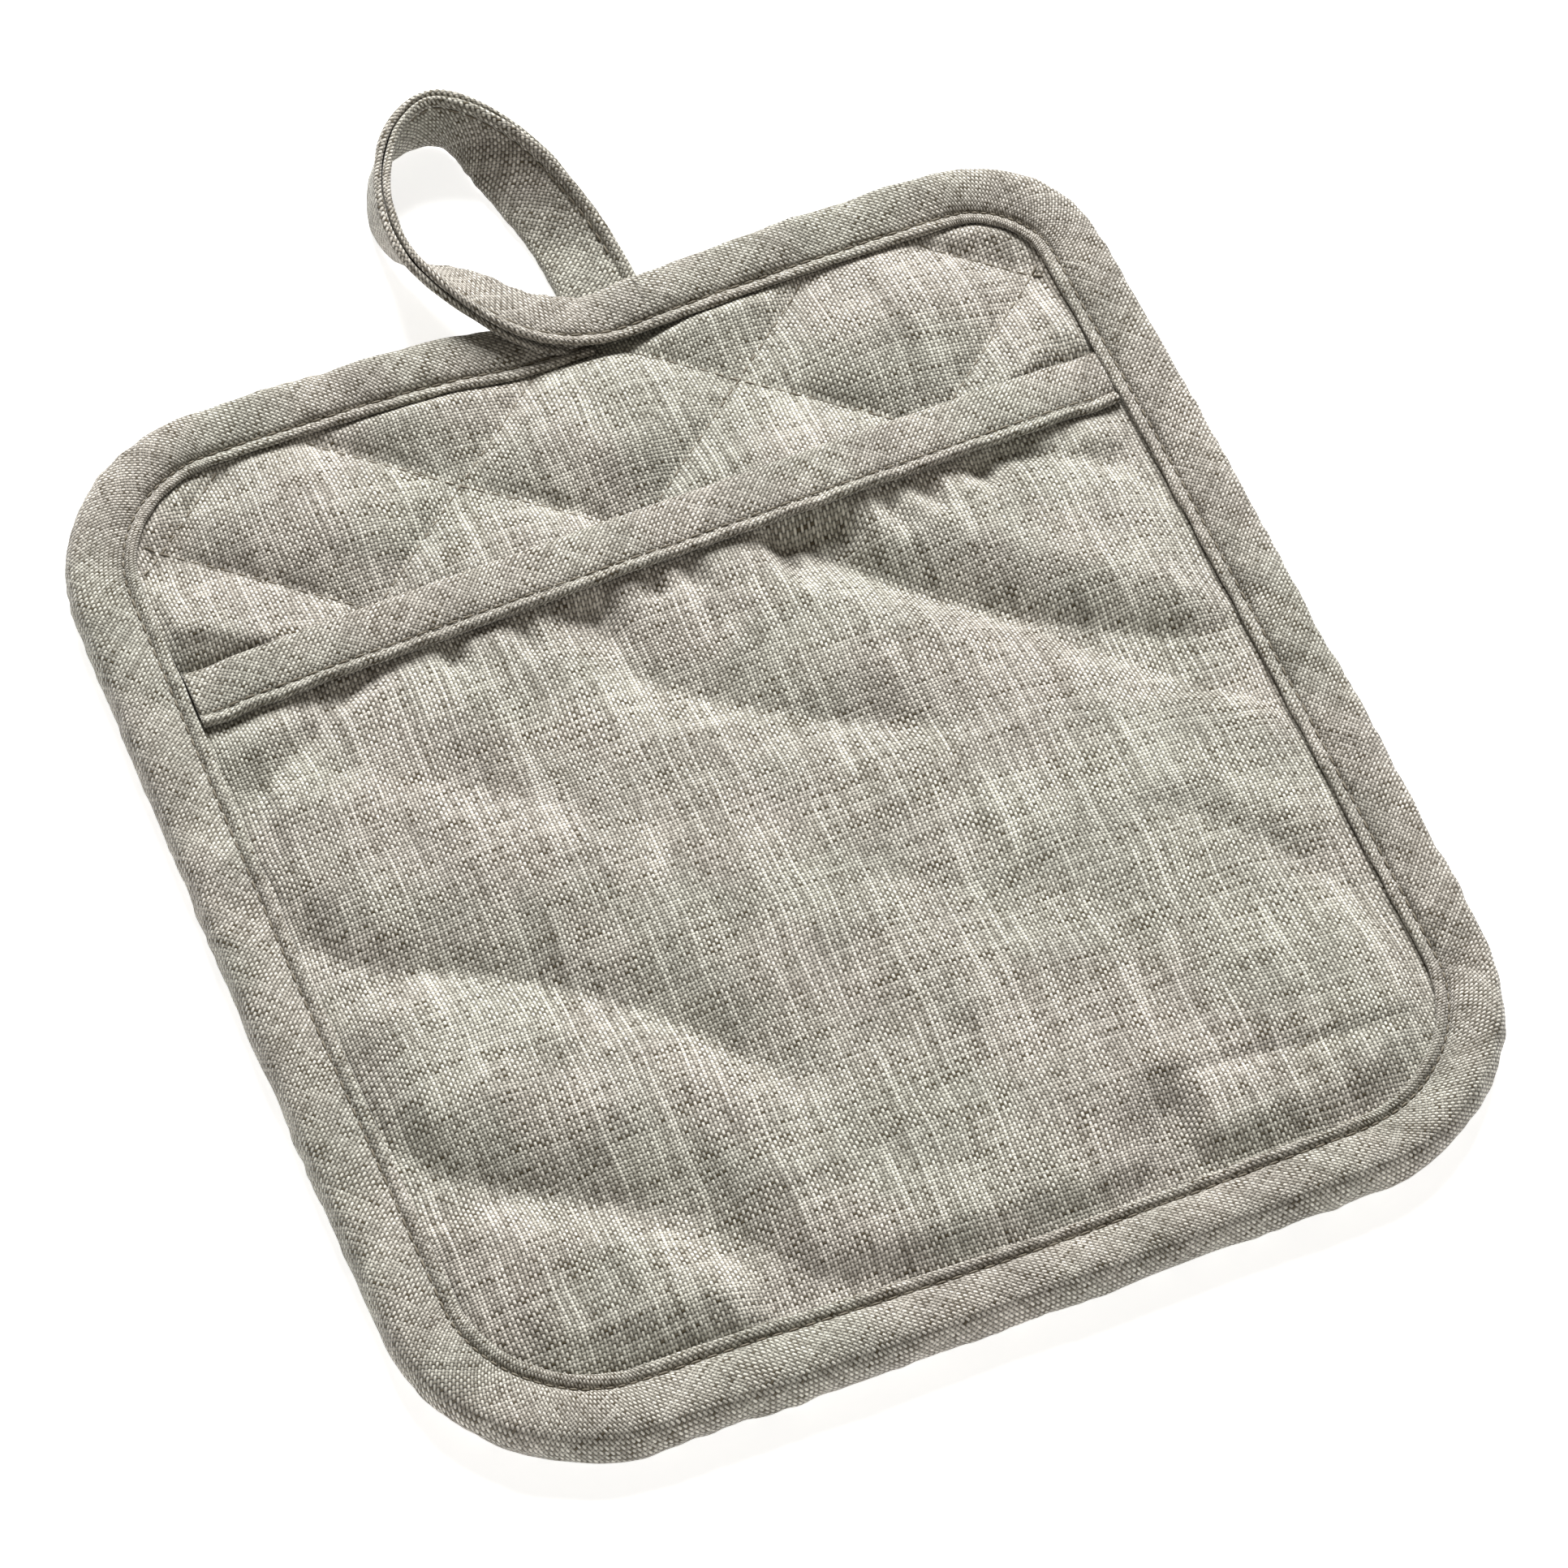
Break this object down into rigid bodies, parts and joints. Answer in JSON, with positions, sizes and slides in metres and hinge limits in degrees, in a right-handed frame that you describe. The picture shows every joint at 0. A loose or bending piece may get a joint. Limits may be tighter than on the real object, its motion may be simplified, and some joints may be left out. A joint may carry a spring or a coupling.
{
  "type": "pocket pot holder",
  "caption": "Quilted rectangular pot holder with a plain cloth hand pocket, a bound edge and a hanging loop made by the end of the binding tape.",
  "frame": {"origin": "centre of the whole part's box, hanging loop included, on the surface that it lies on", "axes": "+Z out of the pocket side, +Y along the pad's length towards the hanging loop, +X to the right seen from the pocket side"},
  "size_m": [0.2114, 0.2836, 0.0165],
  "materials": {
    "cloth": "matt plain-weave melange cloth",
    "tape": "matt bias-cut melange tape",
    "wadding": "soft unbleached cotton wadding",
    "thread": "matt sewing thread"
  },
  "bodies": {
    "root": {"back_panel": "cloth", "wadding": "wadding", "face_panel": "cloth", "pocket_panel": "cloth", "pocket_hem": "tape", "edge_binding": "tape", "binding_stitch": "thread", "loop_stitch": "thread", "hem_stitch": "thread", "quilt_stitch_left_02": "thread", "quilt_stitch_left_03": "thread", "quilt_stitch_left_04": "thread", "quilt_stitch_left_05": "thread", "quilt_stitch_left_06": "thread", "quilt_stitch_left_07": "thread", "quilt_stitch_left_08": "thread", "quilt_stitch_right_02": "thread", "quilt_stitch_right_03": "thread", "quilt_stitch_right_04": "thread", "quilt_stitch_right_05": "thread", "quilt_stitch_right_06": "thread", "quilt_stitch_right_07": "thread", "quilt_stitch_right_08": "thread"}
  },
  "joints": []
}
